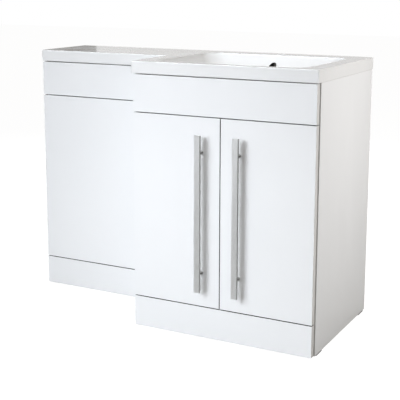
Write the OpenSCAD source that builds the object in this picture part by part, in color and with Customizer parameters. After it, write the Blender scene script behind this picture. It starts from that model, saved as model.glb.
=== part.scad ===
// Combined vanity and WC unit: two white cabinets under one L-shaped cast top with a moulded
// bowl. Places are given as x from the left end of the top, d from the wall towards the room
// and z from the floor, all in millimetres.

/* [Top] */
// Width of the top, left end to right end
top_w = 1100; // [1060:10:1300]
// Depth of the top over the vanity
top_d = 480; // [460:5:520]
// Depth of the top over the WC unit
shelf_d = 260; // [220:5:300]
// Left end of the top to the step where it gets deeper
step_x = 496; // [420:4:520]
// Thickness of the top's edge
top_t = 37; // [32:1:45]
// Thickness of the top where its underside is hollow
plate_t = 16; // [12:1:22]
// Width of the solid band round the hollow underside
band_w = 22; // [20:1:30]
// Radius of the top's upright corners
corner_r = 5; // [2:1:10]
// Ribs across the hollow underside of the shelf
shelf_ribs = 2; // [1:1:4]
// Thickness of each rib
rib_t = 12; // [8:1:18]

/* [Bowl] */
// Width of the bowl at the rim
bowl_w = 490; // [400:10:500]
// Front-to-back size of the bowl at the rim
bowl_d = 378; // [330:2:385]
// Width of the rim in front of the bowl
rim_front = 30; // [26:1:40]
// Depth of the bowl at the edge of its floor
bowl_depth = 112; // [90:2:116]
// Thickness of the bowl's wall
bowl_wall = 9; // [7:1:10]
// Radius of the bowl's upright corners at the rim
bowl_r = 50; // [30:2:70]
// How far each end wall runs in between rim and floor
end_run = 145; // [60:5:150]
// How far the back wall runs in between rim and floor
back_run = 125; // [60:5:130]
// How far the front wall runs in between rim and floor
front_run = 40; // [15:1:50]
// Fall of the floor towards the waste
floor_fall = 6; // [3:1:8]
// Radius of the rolled edge at the rim
rim_roll = 4; // [2:1:6]
// Diameter of the tap hole
tap_d = 35; // [32:1:36]
// Centre of the tap hole, in front of the wall
tap_back = 40; // [38:1:42]
// Diameter of the waste hole
waste_d = 45; // [42:1:48]
// Diameter of the recess that the waste's flange sits in
waste_seat_d = 66; // [60:1:70]
// Foot of the back wall to the recess of the waste
waste_inset = 35; // [10:5:50]
// Diameter of the overflow hole
overflow_d = 25; // [20:1:28]
// Rim to the centre of the overflow hole
overflow_drop = 35; // [32:1:38]

/* [Cabinets] */
// Floor to the underside of the top
carcass_h = 800; // [760:5:860]
// Thickness of the cabinet boards
board_t = 18; // [16:1:19]
// Overhang of the top past the cabinets at each end
end_nose = 3; // [0:1:6]
// Overhang of the top's step past the vanity's left side
step_nose = 6; // [0:1:10]
// Height of the glides under the side panels
glide_h = 3.3; // [2:0.1:5]
// Length of a glide
glide_l = 48; // [30:1:60]
// Side panel's end to the glide
glide_inset = 12; // [5:1:20]
// Height of the upright rails
rail_h = 70; // [60:1:76]
// Height of the back rails, which take the wall screws
back_rail_h = 100; // [80:5:120]
// Distance between the wall screws of the vanity
vanity_wall_pitch = 400; // [300:10:450]
// Distance between the wall screws of the WC unit
wc_wall_pitch = 300; // [200:10:340]
// Diameter of the wall screw holes
wall_hole_d = 6; // [5:0.5:8]

/* [Fronts] */
// Thickness of doors, fascias, plinths and panels
front_t = 19; // [18:0.5:22]
// Gap between the fronts and the cabinets' front edges
front_gap = 6; // [6:0.5:8]
// Gap between neighbouring fronts
joint = 3; // [2:0.5:4]
// Step back of the fronts' ends from the cabinets' outer faces
reveal = 2; // [1:0.5:3]
// Floor to the underside of the plinths
plinth_lift = 5.5; // [4:0.5:10]
// Height of the plinths
plinth_h = 96; // [80:1:110]
// Height of the doors and of the WC unit's large panel
door_h = 577; // [540:1:600]

/* [Handles] */
// Length of the handle bars
bar_l = 477; // [300:1:500]
// Width of the handle bars
bar_w = 18; // [12:1:22]
// Thickness of the handle bars
bar_t = 8; // [6:1:10]
// Front of the door to the front of the bar
handle_out = 30; // [26:1:45]
// Distance between the two posts
post_pitch = 368; // [192:16:400]
// Diameter of the posts
post_d = 8; // [7:0.5:12]
// Free edge of the door to the middle of the bar
handle_inset = 60; // [40:1:80]

/* [Hinges] */
// Ends of the door to the hinges
hinge_inset = 90; // [80:1:120]
// Diameter of the cups
cup_d = 35; // [35:1:35]
// Depth of the cups
cup_depth = 13; // [12.6:0.1:13.5]
// Outer edge of the door to the middle of the cups
cup_edge = 22.5; // [22:0.5:23.5]
// Outer edge of the door to the hinge pin
pin_edge = 11; // [10.5:0.5:11]
// Depth of the hinge pin below the door's back face
pin_drop = 9; // [8.8:0.1:9.2]
// Diameter of the hinge pins
pin_d = 3; // [2.5:0.1:3.2]
// Opening angle of the doors
open_angle = 105; // [90:1:105]

/* [Shelf] */
// Floor to the underside of the shelf
shelf_z = 392; // [360:4:440]
// Front-to-back size of the shelf
shelf_l = 280; // [200:10:300]
// Thickness of the shelf
shelf_t = 16; // [15:1:19]

/* [Fits] */
// Running clearance of the hinge pins, on the radius
pin_fit = 0.06; // [0.03:0.01:0.1]
// Clearance of parts pressed or screwed into holes, on the radius
peg_fit = 0.05; // [0.03:0.01:0.1]
// Clearance of soft stops and loose shelves
rest_fit = 0.3; // [0.2:0.1:0.4]
// Clearance of screws passing freely through holes, on the radius
screw_fit = 0.3; // [0.2:0.1:0.5]

/* [Hidden] */
$fn = 48;

// Where the object stands: the origin is on the floor under the middle of its box
left = -top_w/2;
wall_y = (top_d + handle_out)/2;
top_z = carcass_h + top_t;

// How far cutting shapes run past a surface, and blind holes past the peg in them
cut = 1;
hole_spare = 0.5;

// Cabinets
vanity_l = step_x + step_nose;
vanity_r = top_w - end_nose;
vanity_in = [vanity_l + board_t, vanity_r - board_t];
vanity_mid = (vanity_l + vanity_r)/2;
wc_in = [end_nose + board_t, vanity_l - board_t];
wc_mid = (wc_in[0] + wc_in[1])/2;
side_z = [glide_h, carcass_h];

// Fronts
vanity_face = top_d - front_t;
vanity_edge = vanity_face - front_gap;
wc_face = shelf_d - front_t;
wc_edge = wc_face - front_gap;
vanity_front_x = [vanity_l + reveal, vanity_r - reveal];
wc_front_x = [end_nose + reveal, vanity_l - reveal];
plinth_z = [plinth_lift, plinth_lift + plinth_h];
door_z = [plinth_z[1] + joint, plinth_z[1] + joint + door_h];
fascia_z = [door_z[1] + joint, carcass_h - joint];
door_mid_z = (door_z[0] + door_z[1])/2;
door_w = (vanity_front_x[1] - vanity_front_x[0] - joint)/2;

// Boards inside the vanity
base_lip = 7.5;
base_z = [door_z[0] + base_lip - board_t, door_z[0] + base_lip];
rail_lip = 24.5;
front_rail_top = door_z[1] + rail_lip;
front_rail_z = [front_rail_top - rail_h, front_rail_top];
front_rail_d = [vanity_edge - board_t, vanity_edge];
back_rail_z = [carcass_h - back_rail_h, carcass_h];
back_rail_d = [0, board_t];
foot_rail_z = [base_z[1], base_z[1] + rail_h];

// Boards inside the WC unit, each upright and flush with the cabinet's front edge
wc_rail_d = [wc_edge - board_t, wc_edge];
wc_top_rail_z = [carcass_h - rail_h, carcass_h];
wc_middle_rail_z = [door_z[1] + joint/2 - rail_h/2, door_z[1] + joint/2 + rail_h/2];
wc_base_rail_z = [plinth_z[1] + joint/2 - rail_h/2, plinth_z[1] + joint/2 + rail_h/2];

// Bowl
bowl_x = vanity_mid;
bowl_front = top_d - rim_front;
bowl_back = bowl_front - bowl_d;
bowl_rings = 10;
rim_steps = 3;
corner_steps = 7;
end_ease = 1.1;
back_ease = 1.02;
front_ease = 2.5;
corner_growth = 25;
floor_r = bowl_r + corner_growth;
ring_flat = 0.5;
floor_d = [bowl_back + back_run, bowl_front - front_run];
waste_dd = floor_d[0] + waste_inset + waste_seat_d/2;
floor_z = top_z - bowl_depth - floor_fall;
shell_depth = bowl_depth + floor_fall + bowl_wall;
waste_boss_h = 10;
waste_boss_wall = 11;
waste_seat_h = 3;
waste_seat_rim = 1;
overflow_z = top_z - overflow_drop;
overflow_boss_wall = 6;
overflow_mouth = bowl_back + back_run*(overflow_drop + overflow_d/2)/bowl_depth + rim_roll;
tap_recess_w = 220;
tap_recess_back = 14;
tap_recess_d = [tap_recess_back, bowl_back - bowl_wall];

// Knock-down fittings that join the boards to the side panels: a cam in the board, and a bolt
// from the side panel into it. A place is the bolt's d and z and the side the cam goes in from
cam_r = 7.5;
cam_h = 12.5;
cam_inset = 24;
cam_edge = 80;
cam_room = 0.4;
cam_thread_r = 2.5;
cam_thread_l = 11;
cam_shank_r = 3.5;
cam_neck_r = 1.9;
cam_head_r = 2.6;
cam_head_l = 3.5;
cam_drive_l = 9;
cam_drive_w = 1.4;
cam_drive_depth = 2;
from_back = -90;
from_front = 90;
from_below = 180;
function middle(span) = (span[0] + span[1])/2;
base_cams = [for (d = [cam_edge, vanity_edge - cam_edge]) [d, middle(base_z), from_below]];
front_rail_cams = [[middle(front_rail_d), middle(front_rail_z), from_back]];
back_rail_cams = [[middle(back_rail_d), middle(back_rail_z), from_front]];
foot_rail_cams = [[middle(back_rail_d), middle(foot_rail_z), from_front]];
function wc_rail_cams(z) = [[middle(wc_rail_d), middle(z), from_back]];
vanity_cams = concat(base_cams, front_rail_cams, back_rail_cams, foot_rail_cams);
wc_cams = concat(wc_rail_cams(wc_top_rail_z), wc_rail_cams(wc_middle_rail_z),
                 wc_rail_cams(wc_base_rail_z), back_rail_cams);

// Angle brackets
bracket_t = 2;
bracket_w = 18;
flange_l = 22;
leg_l = 34;
flange_hole = 13;
leg_hole = 24;
bracket_low = 40;
bracket_high = 22;
fascia_bracket_z = [fascia_z[0] + bracket_low, fascia_z[1] - bracket_high];
plinth_bracket_up = 28;
plinth_bracket_down = 19;
plinth_bracket_z = [plinth_z[0] + plinth_bracket_up, base_z[0] - plinth_bracket_down];

// Screws
screw_r = 1.9;
screw_head_r = 3.6;
screw_head_h = 2;
screw_l = 14;
screw_tip_l = 3;
screw_tip_r = 0.4;
screw_crown = 0.65;
screw_drive = 1.1;
slot_w = 0.9;
slot_depth = 0.9;

// Panel clips: a socket on the rail and a stud on the panel
socket_r = 8;
socket_bore = 3.6;
clip_peg_r = 4;
clip_peg_l = 10;
stud_base_h = 1.5;
stud_peg_r = 3;
stud_peg_l = 8;
clip_inset = 60;
clip_top_rise = 30;
clip_edge = 17;
socket_depth = 6;
stud_nose_l = 5;
stud_rim = 0.5;
snap_fit = 0.3;
clips = [
    for (x = [wc_in[0] + clip_inset, wc_in[1] - clip_inset])
    for (z = [wc_top_rail_z[0] + clip_top_rise, wc_middle_rail_z[1] - clip_edge,
              wc_middle_rail_z[0] + clip_edge, wc_base_rail_z[1] - clip_edge])
        [x, z]
];

// Round ends of the glides
glide_r = 3;
glide_steps = 4;

// Shelf
shelf_set_back = 25;
shelf_end_gap = 1;
shelf_d0 = vanity_edge - shelf_set_back - shelf_l;
shelf_pin_inset = 40;
shelf_pin_d = [shelf_d0 + shelf_pin_inset, shelf_d0 + shelf_l - shelf_pin_inset];
shelf_pin_r = 2.5;
shelf_pin_in = 10;
shelf_pin_out = 9;
shelf_pad = 10;
shelf_pad_t = 2;
shelf_hole_pitch = 32;

// Connecting bolts between the two cabinets
bolt_r = 4;
bolt_head_r = 7;
bolt_head_h = 2;
bolt_inset = 57.5;
bolt_z = [250, 600];
bolts = [for (d = [bolt_inset, wc_edge - bolt_inset], z = bolt_z) [d, z]];

// Soft stops behind the doors' free corners
bumper_r = 3;
bumper_peg_r = 2;
bumper_peg_l = 6;
bumper_inset = 18;
bumper_x = [vanity_mid - bumper_inset, vanity_mid + bumper_inset];
bumper_z = [(door_z[0] + base_z[1])/2, (front_rail_z[0] + door_z[1])/2];

// Handles
bar_z = [door_mid_z - bar_l/2, door_mid_z + bar_l/2];
post_z = [door_mid_z - post_pitch/2, door_mid_z + post_pitch/2];
bar_back = top_d + handle_out - bar_t;
spigot_r = 2.5;
spigot_l = 3;
machine_r = 2;
machine_grip = 12;
machine_head_r = 4;
machine_head_h = 2.4;

// Hinges, in a frame that starts at the door's outer back edge: x runs towards the middle of
// the vanity and y towards the wall
hinge_z = [door_z[0] + hinge_inset, door_z[1] - hinge_inset];
side_face = board_t - reveal;
cup_wall = 0.8;
flange_t = 1.2;
flange_r = cup_d/2 + 1.4;
cup_screw_r = screw_r - 0.4;
cup_screw_x = cup_edge + 6;
cup_screw_z = 24;
cup_screw_l = 11;
wing_r = 6;
arm_t = 2;
nose_w = 9;
arm_w = 13;
knuckle_r = 2.6;
swing_reach = pin_edge + pin_drop*sin(open_angle) - pin_edge*cos(open_angle);
swing_fit = 1.05;
arm_x = swing_reach + swing_fit;
arm_wide_from = 10;
arm_end = 64;
arm_skirt = 4.6;
arm_skirt_t = 1.2;
skirt_gap = 4;
skirt_end = 2;
pin_l = 20;
pin_end = 0.2;
boss_from = 6;
boss_w = 6;
plate_start = 22;
plate_screw_back = 37;
plate_from = front_gap + plate_start;
plate_to = arm_end - 2;
plate_hole_y = front_gap + plate_screw_back;
plate_screw_l = screw_l - 1;
plate_hole_z = 16;
plate_t_steel = 1.6;
saddle_w = arm_w - 2*arm_skirt_t - 0.6;
arm_screw_y = plate_to - 9;
arm_screw_l = 6;

// Colours
white_gloss = [0.93, 0.94, 0.96];
white_inside = [0.90, 0.90, 0.89];
cast_white = [0.96, 0.96, 0.95];
steel = [0.72, 0.72, 0.71];
bright_steel = [0.80, 0.80, 0.81];
grey_plastic = [0.35, 0.34, 0.33];
clear_plastic = [0.85, 0.86, 0.87];
white_plastic = [0.92, 0.92, 0.90];

// Put a child at a place given as x, d and z
module at(x, d, z)
    translate([left + x, wall_y - d, z]) children();

// Block between two places on each axis
module block(x, d, z)
    at(x[0], d[1], z[0]) cube([x[1] - x[0], d[1] - d[0], z[1] - z[0]]);

// Round bars along the three axes
module rod_x(x, d, z, r)
    at(x[0], d, z) rotate([0, 90, 0]) cylinder(r = r, h = x[1] - x[0]);

module rod_d(x, d, z, r)
    at(x, d[1], z) rotate([-90, 0, 0]) cylinder(r = r, h = d[1] - d[0]);

module rod_z(x, d, z, r)
    at(x, d, z[0]) cylinder(r = r, h = z[1] - z[0]);

// Fillet at one corner of an outline: the arc's points, from the side before to the side after
function fillet(before, corner, after, r, n) =
    let (u = (before - corner)/norm(before - corner),
         v = (after - corner)/norm(after - corner),
         half = acos(u*v)/2,
         centre = corner + (u + v)/norm(u + v)*r/sin(half),
         start = corner + u*r/tan(half) - centre,
         turn = (u[0]*v[1] - u[1]*v[0] < 0 ? 1 : -1)*(180 - 2*half))
    [for (k = [0:n]) let (a = turn*k/n)
        centre + [start[0]*cos(a) - start[1]*sin(a), start[0]*sin(a) + start[1]*cos(a)]];

// Outline with every corner rounded
function rounded(points, r, n) =
    let (m = len(points))
    [for (i = [0:m - 1])
        for (p = fillet(points[(i + m - 1) % m], points[i], points[(i + 1) % m], r, n)) p];

// Ring of a rounded rectangle in x and d at one height
function ring(x, d, r, z) = [
    for (c = [0:3], k = [0:corner_steps])
        let (a = 90*c + 90*k/corner_steps,
             cx = (c == 0 || c == 3) ? x[1] - r : x[0] + r,
             cy = (c < 2) ? wall_y - d[0] - r : wall_y - d[1] + r)
        [cx + r*cos(a), cy + r*sin(a), z]
];

// Closed solid through rings of equal point counts, lowest ring first
module loft(rings) {
    n = len(rings[0]);
    m = len(rings);
    polyhedron(
        points = [for (r = rings) for (p = r) p],
        faces = concat(
            [[for (i = [0:n - 1]) i]],
            [[for (i = [n - 1:-1:0]) (m - 1)*n + i]],
            [for (j = [0:m - 2], i = [0:n - 1])
                [j*n + i, (j + 1)*n + i, (j + 1)*n + (i + 1) % n]],
            [for (j = [0:m - 2], i = [0:n - 1])
                [j*n + i, (j + 1)*n + (i + 1) % n, j*n + (i + 1) % n]]));
}

// Run of a bowl wall at a share of its depth: upright at the rim, easing into the floor
function wall_run(t, ease) = 1 - pow(max(0, 1 - pow(t, ease)), 1/ease);

// Ring of the bowl at a share of its depth, grown outwards by a wall
function bowl_ring(t, grow, z) =
    let (e = end_run*wall_run(t, end_ease) - grow,
         b = back_run*wall_run(t, back_ease) - grow,
         f = front_run*wall_run(t, front_ease) - grow,
         r = bowl_r + corner_growth*t + grow)
    ring([left + bowl_x - bowl_w/2 + e, left + bowl_x + bowl_w/2 - e],
         [bowl_back + b, bowl_front - f], r, z);

// Ring of the bowl's floor between the foot of the walls and the waste
function floor_ring(t) =
    let (end = bowl_w/2 - end_run,
         seat = waste_seat_d/2 + waste_seat_rim,
         hx = end + (seat - end)*t,
         back = floor_d[0] + (waste_dd - seat - floor_d[0])*t,
         front = floor_d[1] + (waste_dd + seat - floor_d[1])*t,
         r = min(floor_r, min(hx, (front - back)/2) - ring_flat))
    ring([left + bowl_x - hx, left + bowl_x + hx], [back, front],
         r, top_z - bowl_depth - floor_fall*t);

// Space inside the bowl, up to just above the rim
module bowl_space()
    loft(concat(
        [for (t = [1:-0.25:0.25]) floor_ring(t)],
        [for (k = [bowl_rings:-1:0])
            let (t = sin(90*k/bowl_rings))
            bowl_ring(t, 0, top_z - rim_roll - t*(bowl_depth - rim_roll))],
        [for (k = [1:rim_steps])
            let (a = 90*k/rim_steps)
            bowl_ring(0, rim_roll*(1 - cos(a)), top_z - rim_roll*(1 - sin(a)))],
        [bowl_ring(0, rim_roll, top_z + cut)]));

// Outside of the bowl under the top
module bowl_shell()
    loft([for (k = [bowl_rings:-1:1])
        let (t = sin(90*k/bowl_rings))
        bowl_ring(t, bowl_wall, top_z - t*shell_depth)]);

// Hollows under the shelf, with ribs left between them
module shelf_hollows() {
    x0 = band_w;
    x1 = wc_in[1] - 4;
    w = (x1 - x0 - shelf_ribs*rib_t)/(shelf_ribs + 1);
    for (i = [0:shelf_ribs])
        at(x0 + i*(w + rib_t), shelf_d - band_w, carcass_h - cut)
            linear_extrude(top_t - plate_t + cut)
                polygon(rounded([[0, 0], [w, 0], [w, shelf_d - 2*band_w],
                                 [0, shelf_d - 2*band_w]], corner_r, 4));
}

module basin_top() color(cast_white) {
    outline = [[0, shelf_d], [step_x, shelf_d], [step_x, top_d], [top_w, top_d],
               [top_w, 0], [0, 0]];
    difference() {
        union() {
            translate([0, 0, carcass_h]) linear_extrude(top_t)
                polygon(rounded([for (p = outline) [left + p[0], wall_y - p[1]]],
                                corner_r, 6));
            bowl_shell();
            rod_z(bowl_x, waste_dd, [floor_z - bowl_wall - waste_boss_h, floor_z - 2],
                  waste_d/2 + waste_boss_wall);
            rod_d(bowl_x, [tap_recess_d[1], overflow_mouth], overflow_z,
                  overflow_d/2 + overflow_boss_wall);
        }
        bowl_space();
        shelf_hollows();
        block([bowl_x - tap_recess_w/2, bowl_x + tap_recess_w/2], tap_recess_d,
              [carcass_h - cut, top_z - plate_t]);
        rod_z(bowl_x, tap_back, [carcass_h, top_z + cut], tap_d/2);
        rod_z(bowl_x, waste_dd, [floor_z - waste_seat_h, floor_z + cut], waste_seat_d/2);
        rod_z(bowl_x, waste_dd, [floor_z - bowl_wall - waste_boss_h - cut, floor_z],
              waste_d/2);
        rod_d(bowl_x, [tap_recess_d[1] - cut, overflow_mouth + cut], overflow_z, overflow_d/2);
    }
}

// Pilot hole for a screw driven along x or towards the room
module pilot_x(x, d, z, way)
    rod_x(way > 0 ? [x - cut, x + screw_l - bracket_t + cut]
                  : [x - screw_l + bracket_t - cut, x + cut],
          d, z, screw_r + peg_fit);

module pilot_d(x, d, z)
    rod_d(x, [d - cut, d + screw_l - bracket_t + cut], z, screw_r + peg_fit);

// Side panel of the vanity: 0 is the left one and 1 the right one
module vanity_side(side) {
    x = side == 0 ? [vanity_l, vanity_in[0]] : [vanity_in[1], vanity_r];
    face = side == 0 ? x[1] : x[0];
    way = side == 0 ? -1 : 1;
    difference() {
        block(x, [0, vanity_edge], side_z);
        cam_pilots(vanity_cams, vanity_in, side);
        for (z = concat(fascia_bracket_z, plinth_bracket_z))
            pilot_x(face, vanity_face - leg_hole, z, way);
        for (z = hinge_z, k = [-1, 1])
            pilot_x(face, vanity_face - plate_hole_y, z + k*plate_hole_z, way);
        for (d = shelf_pin_d, k = [-1:1])
            rod_x(way > 0 ? [face - cut, face + shelf_pin_in + cut]
                          : [face - shelf_pin_in - cut, face + cut],
                  d, shelf_z - shelf_pin_r + k*shelf_hole_pitch, shelf_pin_r + peg_fit);
        if (side == 0)
            for (b = bolts) rod_x([x[0] - cut, x[1] + cut], b[0], b[1], bolt_r + peg_fit);
    }
}

module vanity_side_left() color(white_gloss) vanity_side(0);

module vanity_side_right() color(white_gloss) vanity_side(1);

module vanity_base() color(white_inside)
    difference() {
        block(vanity_in, [0, vanity_edge], base_z);
        cam_rooms(base_cams, vanity_in);
        for (x = bumper_x)
            rod_d(x, [vanity_edge - bumper_peg_l - hole_spare, vanity_edge + cut], bumper_z[0],
                  bumper_peg_r + peg_fit);
    }

module vanity_front_rail() color(white_inside)
    difference() {
        block(vanity_in, front_rail_d, front_rail_z);
        cam_rooms(front_rail_cams, vanity_in);
        for (x = bumper_x)
            rod_d(x, [vanity_edge - bumper_peg_l - hole_spare, vanity_edge + cut], bumper_z[1],
                  bumper_peg_r + peg_fit);
    }

// Back rail with two holes for wall screws
module back_rail(x, mid, pitch)
    difference() {
        block(x, back_rail_d, back_rail_z);
        cam_rooms(back_rail_cams, x);
        for (k = [-1, 1])
            rod_d(mid + k*pitch/2, [-cut, board_t + cut], carcass_h - back_rail_h/2,
                  wall_hole_d/2);
    }

module vanity_back_rail() color(white_inside)
    back_rail(vanity_in, vanity_mid, vanity_wall_pitch);

module vanity_foot_rail() color(white_inside)
    difference() {
        block(vanity_in, back_rail_d, foot_rail_z);
        cam_rooms(foot_rail_cams, vanity_in);
    }

module vanity_fascia() color(white_gloss)
    difference() {
        block(vanity_front_x, [vanity_face, top_d], fascia_z);
        for (x = [vanity_in[0] + flange_hole, vanity_in[1] - flange_hole],
             z = fascia_bracket_z)
            pilot_d(x, vanity_face, z);
    }

module vanity_plinth() color(white_gloss)
    difference() {
        block(vanity_front_x, [vanity_face, top_d], plinth_z);
        for (x = [vanity_in[0] + flange_hole, vanity_in[1] - flange_hole],
             z = plinth_bracket_z)
            pilot_d(x, vanity_face, z);
    }

module vanity_shelf() color(white_inside)
    block([vanity_in[0] + shelf_end_gap, vanity_in[1] - shelf_end_gap],
          [shelf_d0, shelf_d0 + shelf_l],
          [shelf_z, shelf_z + shelf_t]);

// Shelf pins: a round peg in the side panel and a flat pad under the shelf
module shelf_pins() color(bright_steel)
    for (side = [0, 1], d = shelf_pin_d) {
        face = vanity_in[side];
        way = side == 0 ? 1 : -1;
        x0 = face - way*shelf_pin_in;
        x1 = face + way*shelf_pin_out;
        rod_x([min(x0, x1), max(x0, x1)], d, shelf_z - shelf_pin_r, shelf_pin_r);
        block([min(face, x1), max(face, x1)], [d - shelf_pad/2, d + shelf_pad/2],
              [shelf_z - shelf_pad_t, shelf_z]);
    }

// Glide: a flat strip with rounded ends under a side panel
module glide(x, d)
    at(x, d, 0) linear_extrude(glide_h)
        polygon(rounded([[0, 0], [board_t, 0], [board_t, glide_l], [0, glide_l]],
                        glide_r, glide_steps));

module glides(xs, edge)
    for (x = xs, d = [glide_inset + glide_l, edge - glide_inset]) glide(x, d);

module vanity_glides() color(grey_plastic) glides([vanity_l, vanity_in[1]], vanity_edge);

module wc_glides() color(grey_plastic) glides([end_nose, wc_in[1]], wc_edge);

// Frame in the corner between a side panel and a front: x runs inwards from the side panel's
// face and y runs back from the front's rear face
module corner(x, d, z, side)
    at(x, d, z) {
        if (side == 0) children();
        else mirror([1, 0, 0]) children();
    }

// Children at each fitting: x runs from the side panel's face into the board, and z points out
// of the face that the cam goes in from
module at_cams(places, inner, sides = [0, 1])
    for (side = sides, p = places)
        corner(inner[side], p[0], p[1], side) rotate([p[2], 0, 0]) children();

// Round bar along x in a fitting's frame
module cam_rod(from, to, r)
    translate([from, 0, 0]) rotate([0, 90, 0]) cylinder(r = r, h = to - from);

// What the fittings need bored out of a board, and out of one side panel
module cam_rooms(places, inner)
    at_cams(places, inner) {
        cam_rod(-cut, cam_inset, cam_shank_r + peg_fit);
        translate([cam_inset, 0, board_t/2 - cam_h - cam_room])
            cylinder(r = cam_r + peg_fit, h = cam_h + cam_room + cut);
    }

module cam_pilots(places, inner, side)
    at_cams(places, inner, [side])
        cam_rod(-cam_thread_l - cam_room, cut, cam_thread_r + peg_fit);

// Cam with a channel for the bolt's neck, a pocket for its head and a cross drive
module cam_lock()
    difference() {
        translate([cam_inset, 0, board_t/2 - cam_h]) cylinder(r = cam_r, h = cam_h);
        cam_rod(cam_inset - cam_r - cut, cam_inset, cam_neck_r + cam_room);
        cam_rod(cam_inset - cam_head_l - cam_room, cam_inset + cam_room, cam_head_r + cam_room);
        for (a = [0, 90])
            translate([cam_inset, 0, board_t/2 - cam_drive_depth]) rotate([0, 0, a])
                translate([-cam_drive_l/2, -cam_drive_w/2, 0])
                    cube([cam_drive_l, cam_drive_w, cam_drive_depth + cut]);
    }

// Bolt with a thread in the side panel, a shank in the board, and a neck and a head in the cam
module cam_bolt() {
    cam_rod(-cam_thread_l, cut, cam_thread_r);
    cam_rod(0, cam_inset - cam_r - cam_room, cam_shank_r);
    cam_rod(cut, cam_inset - cam_head_l + cut, cam_neck_r);
    cam_rod(cam_inset - cam_head_l, cam_inset, cam_head_r);
}

module cam_locks() color(steel) {
    at_cams(vanity_cams, vanity_in) cam_lock();
    at_cams(wc_cams, wc_in) cam_lock();
}

module cam_bolts() color(bright_steel) {
    at_cams(vanity_cams, vanity_in) cam_bolt();
    at_cams(wc_cams, wc_in) cam_bolt();
}

// Angle bracket with a flange on the front's rear face and a leg on the side panel
module angle_bracket()
    difference() {
        union() {
            translate([0, 0, -bracket_w/2]) cube([flange_l, bracket_t, bracket_w]);
            translate([0, 0, -bracket_w/2]) cube([bracket_t, leg_l, bracket_w]);
        }
        translate([flange_hole, -cut, 0]) rotate([-90, 0, 0])
            cylinder(r = screw_r + screw_fit, h = bracket_t + 2*cut);
        translate([-cut, leg_hole, 0]) rotate([0, 90, 0])
            cylinder(r = screw_r + screw_fit, h = bracket_t + 2*cut);
    }

// Screw with its head's seat at z = 0 and its point towards -z
module screw(length, r, head_r)
    difference() {
        union() {
            cylinder(r1 = head_r, r2 = head_r*screw_crown, h = screw_head_h);
            translate([0, 0, screw_tip_l - length]) cylinder(r = r, h = length - screw_tip_l);
            translate([0, 0, -length]) cylinder(r1 = screw_tip_r, r2 = r, h = screw_tip_l);
        }
        for (a = [0, 90]) rotate([0, 0, a])
            translate([-head_r*screw_drive/2, -slot_w/2, screw_head_h - slot_depth])
                cube([head_r*screw_drive, slot_w, slot_depth + cut]);
    }

module bracket_screw_pair() {
    translate([flange_hole, bracket_t, 0]) rotate([-90, 0, 0])
        screw(screw_l, screw_r, screw_head_r);
    translate([bracket_t, leg_hole, 0]) rotate([0, 90, 0])
        screw(screw_l, screw_r, screw_head_r);
}

// Children at both corners of a front
module at_vanity_corners(zs)
    for (side = [0, 1], z = zs) corner(vanity_in[side], vanity_face, z, side) children();

module at_wc_corners(zs)
    for (side = [0, 1], z = zs) corner(wc_in[side], wc_face, z, side) children();

module vanity_brackets() color(steel) {
    at_vanity_corners(fascia_bracket_z) angle_bracket();
    at_vanity_corners(plinth_bracket_z) angle_bracket();
}

module wc_brackets() color(steel) at_wc_corners([plinth_bracket_z[0]]) angle_bracket();

module bracket_screws() color(bright_steel) {
    at_vanity_corners(fascia_bracket_z) bracket_screw_pair();
    at_vanity_corners(plinth_bracket_z) bracket_screw_pair();
    at_wc_corners([plinth_bracket_z[0]]) bracket_screw_pair();
}

// Side panel of the WC unit: 0 is the left one and 1 the right one
module wc_side(side) {
    x = side == 0 ? [end_nose, wc_in[0]] : [wc_in[1], vanity_l];
    face = side == 0 ? x[1] : x[0];
    way = side == 0 ? -1 : 1;
    difference() {
        block(x, [0, wc_edge], side_z);
        cam_pilots(wc_cams, wc_in, side);
        pilot_x(face, wc_face - leg_hole, plinth_bracket_z[0], way);
        if (side == 1)
            for (b = bolts) rod_x([x[0] - cut, x[1] + cut], b[0], b[1], bolt_r + peg_fit);
    }
}

module wc_side_left() color(white_gloss) wc_side(0);

module wc_side_right() color(white_gloss) wc_side(1);

// Upright rail of the WC unit, drilled for the clip sockets that fall on it
module wc_rail(z)
    difference() {
        block(wc_in, wc_rail_d, z);
        cam_rooms(wc_rail_cams(z), wc_in);
        for (c = clips)
            if (c[1] > z[0] && c[1] < z[1])
                rod_d(c[0], [wc_edge - clip_peg_l - hole_spare, wc_edge + cut], c[1],
                      clip_peg_r + peg_fit);
    }

module wc_top_rail() color(white_inside) wc_rail(wc_top_rail_z);

module wc_middle_rail() color(white_inside) wc_rail(wc_middle_rail_z);

module wc_base_rail() color(white_inside) wc_rail(wc_base_rail_z);

module wc_back_rail() color(white_inside) back_rail(wc_in, wc_mid, wc_wall_pitch);

// Front of the WC unit, drilled for the clip studs that fall on it
module wc_front(z)
    difference() {
        block(wc_front_x, [wc_face, shelf_d], z);
        for (c = clips)
            if (c[1] > z[0] && c[1] < z[1])
                rod_d(c[0], [wc_face - cut, wc_face + stud_peg_l + hole_spare], c[1],
                      stud_peg_r + peg_fit);
        if (z == plinth_z)
            for (x = [wc_in[0] + flange_hole, wc_in[1] - flange_hole])
                pilot_d(x, wc_face, plinth_bracket_z[0]);
    }

module wc_access_panel() color(white_gloss) wc_front(fascia_z);

module wc_front_panel() color(white_gloss) wc_front(door_z);

module wc_plinth() color(white_gloss) wc_front(plinth_z);

// Clip sockets: a collar on the rail with a peg in it, bored to take the stud
module panel_clip_sockets() color(white_plastic)
    for (c = clips)
        difference() {
            union() {
                rod_d(c[0], [wc_edge, wc_face - stud_base_h], c[1], socket_r);
                rod_d(c[0], [wc_edge - clip_peg_l, wc_edge + cut], c[1], clip_peg_r);
            }
            rod_d(c[0], [wc_edge - socket_depth, wc_face], c[1], socket_bore - snap_fit);
            rod_d(c[0], [wc_edge - cut, wc_face], c[1], socket_bore);
        }

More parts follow.
